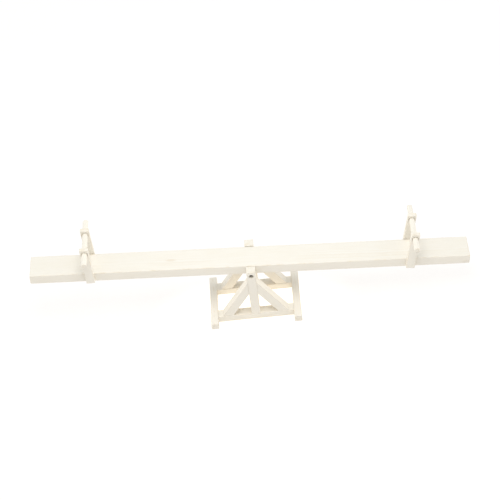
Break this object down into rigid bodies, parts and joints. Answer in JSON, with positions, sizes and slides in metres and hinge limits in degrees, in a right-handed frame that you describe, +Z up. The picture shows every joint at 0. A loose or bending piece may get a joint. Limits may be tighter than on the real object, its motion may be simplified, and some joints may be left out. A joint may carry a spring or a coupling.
{
  "type": "seesaw",
  "caption": "Timber plank rocking on a braced central stand with ground skids, with a crosswise round grip bar on uprights near each end.",
  "frame": {"origin": "on the ground directly below the pivot, midway between the front and rear trusses", "axes": "+X along the plank towards the end that hangs lower at rest, +Y towards the rear truss, +Z up"},
  "size_m": [2.397, 0.36, 0.6238],
  "materials": {
    "beam_timber": "planed softwood under satin cream paint",
    "frame_timber": "planed softwood under satin cream paint",
    "handle_timber": "planed softwood under satin cream paint",
    "grip_timber": "turned dowel under satin cream paint, slightly polished by hands",
    "pin_wood": "bare beech",
    "axle_steel": "black oxide, oiled",
    "fixing_steel": "black oxide, oiled",
    "bush_nylon": "natural nylon"
  },
  "bodies": {
    "base": {"left_skid": "frame_timber", "right_skid": "frame_timber", "front_crossmember": "frame_timber", "front_post": "frame_timber", "front_left_strut": "frame_timber", "front_right_strut": "frame_timber", "rear_crossmember": "frame_timber", "rear_post": "frame_timber", "rear_left_strut": "frame_timber", "rear_right_strut": "frame_timber", "axle": "axle_steel", "front_axle_washer": "fixing_steel", "front_axle_nut": "fixing_steel", "rear_axle_washer": "fixing_steel", "rear_axle_nut": "fixing_steel", "front_truss_pins": "pin_wood", "rear_truss_pins": "pin_wood", "skid_pins": "pin_wood"},
    "rocker": {"beam": "beam_timber", "front_bush": "bush_nylon", "rear_bush": "bush_nylon", "left_front_upright": "handle_timber", "left_rear_upright": "handle_timber", "left_grip_bar": "grip_timber", "left_handle_pins": "pin_wood", "right_front_upright": "handle_timber", "right_rear_upright": "handle_timber", "right_grip_bar": "grip_timber", "right_handle_pins": "pin_wood"}
  },
  "joints": [
    {"name": "beam_rock", "type": "hinge", "parent": "base", "child": "rocker", "pos_m": [0, 0, 0.338], "axis": [0, 1, 0], "range_deg": [-19.3, 10.5]}
  ]
}
